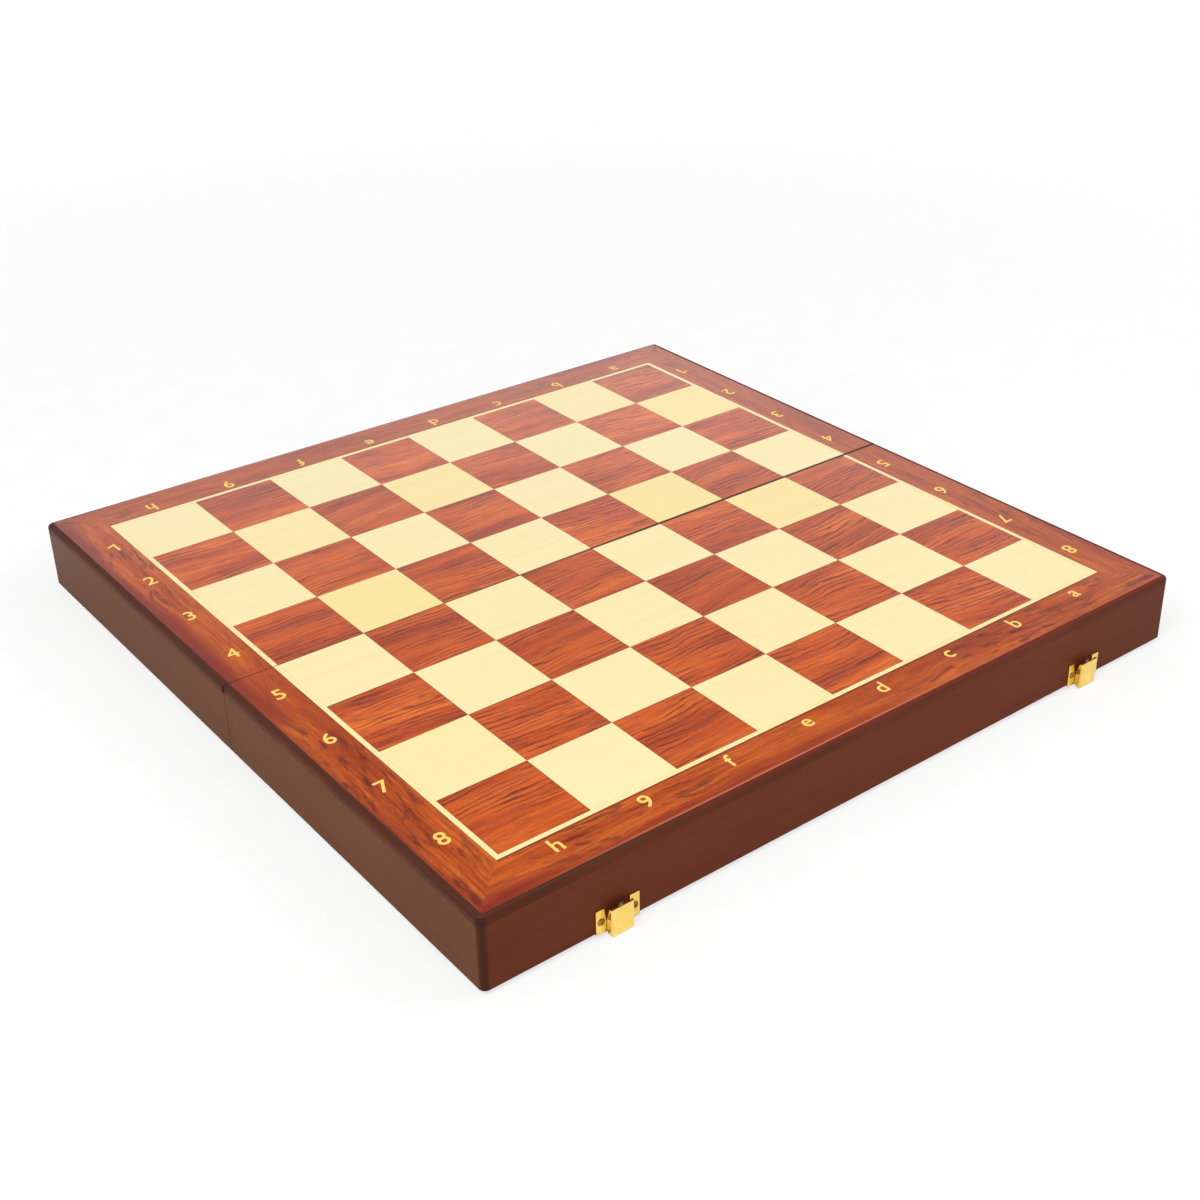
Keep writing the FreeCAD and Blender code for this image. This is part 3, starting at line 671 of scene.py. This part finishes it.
file_middles = [(file + 0.5) * side - field_x for file in range(FILES)]
row_middles = [half_gap + (row + 0.5) * side for row in range(FILES // 2)]
letter_y = field_y + LETTER_INSET
strip_of_signs("front_letters", "front_half", half_round=False, places={
    letter: (x + LETTER_SLIP, -letter_y) for letter, x in zip("hgfedcba", file_middles)})
strip_of_signs("back_letters", "back_half", half_round=True, places={
    letter: (x - LETTER_SLIP, letter_y) for letter, x in zip("hgfedcba", file_middles)})
for hand, way in (("left", -1), ("right", 1)):
    number_x = way * (field_x + NUMBER_INSET[hand])
    strip_of_signs(f"front_{hand}_numbers", "front_half", half_round=hand == "right", places={
        number: (number_x, -y) for number, y in zip("5678", row_middles)})
    strip_of_signs(f"back_{hand}_numbers", "back_half", half_round=hand == "right", places={
        number: (number_x, y) for number, y in zip("4321", row_middles)})

# %% [markdown]
# ## Felt inside
#
# Each tray is lined with a sheet of green felt, glued under the playing surface, so that what is
# kept inside doesn't rattle. Felt has no weave: it is a mat of tangled fibres with an uneven nap.
# The sheet starts as a plane of its cut size, is divided, gets a slight random unevenness, and
# then a thickness with softened edges. The fibres themselves are left to the finish.

# %% Felt finish
FELT_GREEN = (0.016, 0.085, 0.040)
FELT_LIGHT = (0.035, 0.135, 0.068)
PATCH_DARK = (0.86, 0.86, 0.86)
PATCH_LIGHT = (1.08, 1.08, 1.08)
FELT_RELIEF = 0.0003


def felt_finish():
    material, place = new_finish("felt")
    mat = noise(stretch(place, 900, 900), detail=5, roughness=0.7, distortion=1.2)
    patches = noise(stretch(place, 30, 30), detail=2)
    colour = mix(smooth(mat, 0.35, 0.70), FELT_GREEN, FELT_LIGHT)
    colour = tinted(colour, ramp(patches, (0.35, PATCH_DARK), (0.65, PATCH_LIGHT)))
    relief = {"Strength": 1.0, "Distance": FELT_RELIEF, "Height": mat}
    shader = colour.add(
        "ShaderNodeBsdfPrincipled",
        sockets={
            "Base Color": colour,
            "Roughness": 0.95,
            "Normal": colour.add("ShaderNodeBump", sockets=relief),
            "Specular IOR Level": 0.1,
            "Sheen Weight": 0.35,
            "Sheen Roughness": 0.5,
        },
    )
    shader.add("ShaderNodeOutputMaterial", sockets={"Surface": shader})
    return material


felt = felt_finish()
print(felt.name, "is ready")

# %% Felt sheets
FELT_CUTS = 36
NAP = 0.00012
SOFT_EDGE = 0.0004


def felt_sheet(half):
    low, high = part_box(f"{half}_lining")
    size = high - low
    bpy.ops.object.select_all(action="DESELECT")
    bpy.ops.mesh.primitive_plane_add(size=1, location=(low + high) / 2)
    piece = bpy.context.object
    piece.name = f"{half}_felt"
    piece.scale = (size.x, size.y, 1)
    bpy.ops.object.transform_apply(location=True, rotation=True, scale=True)
    bpy.ops.object.mode_set(mode="EDIT")
    bpy.ops.mesh.subdivide(number_cuts=FELT_CUTS)
    bpy.ops.transform.vertex_random(offset=NAP, uniform=0.0, normal=1.0, seed=3)
    bpy.ops.object.mode_set(mode="OBJECT")
    thickness = piece.modifiers.new("thickness", "SOLIDIFY")
    thickness.thickness = size.z - 2 * NAP
    thickness.offset = 0
    edges = piece.modifiers.new("soft edges", "BEVEL")
    edges.width = SOFT_EDGE
    edges.segments = 2
    for modifier in ("thickness", "soft edges"):
        bpy.ops.object.modifier_apply(modifier=modifier)
    bpy.ops.object.shade_smooth_by_angle()
    piece.data.materials.append(felt)
    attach(piece, f"{half}_half")
    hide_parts(f"{half}_lining")
    print(piece.name, f"is {size.x:.4f} by {size.y:.4f}")


for half in HALVES:
    felt_sheet(half)

# %% [markdown]
# ## Camera
#
# The camera stands where the photograph was taken from: in front of the board and to the left, a
# little above it. The picture was cropped off centre, so the lens is shifted by the same amount.

# %% Camera
CAMERA_PLACE = (-0.4370, -0.6012, 0.4306)
AZIMUTH = -39.40
ELEVATION = 28.25
FOCAL_LENGTH = 51.8
FRAME_SHIFT = (-0.0682, -0.0373)

scene = bpy.context.scene
lens = bpy.data.cameras.new("camera")
lens.lens = FOCAL_LENGTH
lens.shift_x, lens.shift_y = FRAME_SHIFT
camera = bpy.data.objects.new("camera", lens)
camera.location = CAMERA_PLACE
camera.rotation_euler = (math.radians(90 - ELEVATION), 0, math.radians(AZIMUTH))
scene.collection.objects.link(camera)
scene.camera = camera
print("camera at", CAMERA_PLACE)

# %% [markdown]
# ## Studio
#
# The board lies in a white studio: a pale floor that runs into a white backdrop, with a darker
# ceiling. The camera sees the backdrop as plain white. Glossy rays see it white near the horizon
# and dimmer overhead, which gives the far squares their sheen and keeps the near ones deep. Light
# on the wood itself comes from an even sky and two soft boxes, at a level where a colour looks as
# written.

# %% Studio
AMBIENT = 0.65
CEILING = 0.05
BACKDROP_TOP = 0.37
CEILING_FROM = 0.49

scene.view_settings.view_transform = "Standard"
scene.world = bpy.data.worlds.new("studio")
scene.world.use_nodes = True
scene.world.node_tree.nodes.clear()
air = Wire(scene.world.node_tree)
straight = air.add("ShaderNodeLightPath", output="Is Camera Ray")
through = air.add("ShaderNodeLightPath", output="Is Transmission Ray")
mirrored = air.add("ShaderNodeLightPath", output="Is Glossy Ray")
height = axis(air.add("ShaderNodeTexCoord", output="Generated"), "Z")
backdrop = 1 - smooth(height, BACKDROP_TOP, CEILING_FROM) * (1 - CEILING)
seen = straight + through
strength = seen + mirrored * backdrop + (1 - seen - mirrored) * AMBIENT
sky = air.add("ShaderNodeBackground", sockets={"Color": (1, 1, 1, 1), "Strength": strength})
sky.add("ShaderNodeOutputWorld", sockets={"Surface": sky})


def softbox(name, place, width, watts):
    lamp = bpy.data.lights.new(name, "AREA")
    lamp.shape = "DISK"
    lamp.size = width
    lamp.energy = watts
    holder = bpy.data.objects.new(name, lamp)
    holder.location = place
    holder.rotation_euler = (-Vector(place)).to_track_quat("-Z", "Y").to_euler()
    scene.collection.objects.link(holder)
    print(name, "gives", watts, "W")


softbox("key", place=(-0.9, -0.5, 1.4), width=1.0, watts=15)
softbox("fill", place=(1.0, -0.6, 1.1), width=1.2, watts=7)

# %% [markdown]
# ## Floor
#
# The floor is a pale sheet that the board casts its shadow on and gets light back from. Where the
# camera looks at it, it is mostly clear, like frosted glass over the white backdrop, so the shadow
# stays light and the half that folds down under this level can still be seen. Further out it
# clears altogether, so it has no edge.

# %% Floor
FLOOR_WHITE = (0.93, 0.93, 0.93, 1)
FLOOR_SIZE = 6
CLEARNESS = 0.75
TINT = 0.05
CLEARS_FROM = 1.5 * half_width
CLEARS_TO = 6 * half_width

bpy.ops.object.select_all(action="DESELECT")
bpy.ops.mesh.primitive_plane_add(size=FLOOR_SIZE, location=(0, 0, cad_box[0].z))
floor = bpy.context.object
floor.name = "floor"
paper, spot = new_finish("floor_paper")
fibre = noise(stretch(spot, 40, 40), detail=2)
matt = spot.add("ShaderNodeBsdfDiffuse", sockets={"Color": FLOOR_WHITE, "Roughness": fibre})
distance = spot.add("ShaderNodeVectorMath", {"operation": "LENGTH"}, {0: spot}, output="Value")
far = smooth(distance, CLEARS_FROM, CLEARS_TO)
clear = spot.add("ShaderNodeBsdfTransparent", sockets={"Color": 1 - TINT * (1 - far)})
looking = spot.add("ShaderNodeLightPath", output="Is Camera Ray")
clearness = looking * (CLEARNESS + (1 - CLEARNESS) * far)
glass = spot.add("ShaderNodeMixShader", sockets={0: clearness, 1: matt, 2: clear})
glass.add("ShaderNodeOutputMaterial", sockets={"Surface": glass})
floor.data.materials.append(paper)
print("floor at", round(cad_box[0].z, 5))
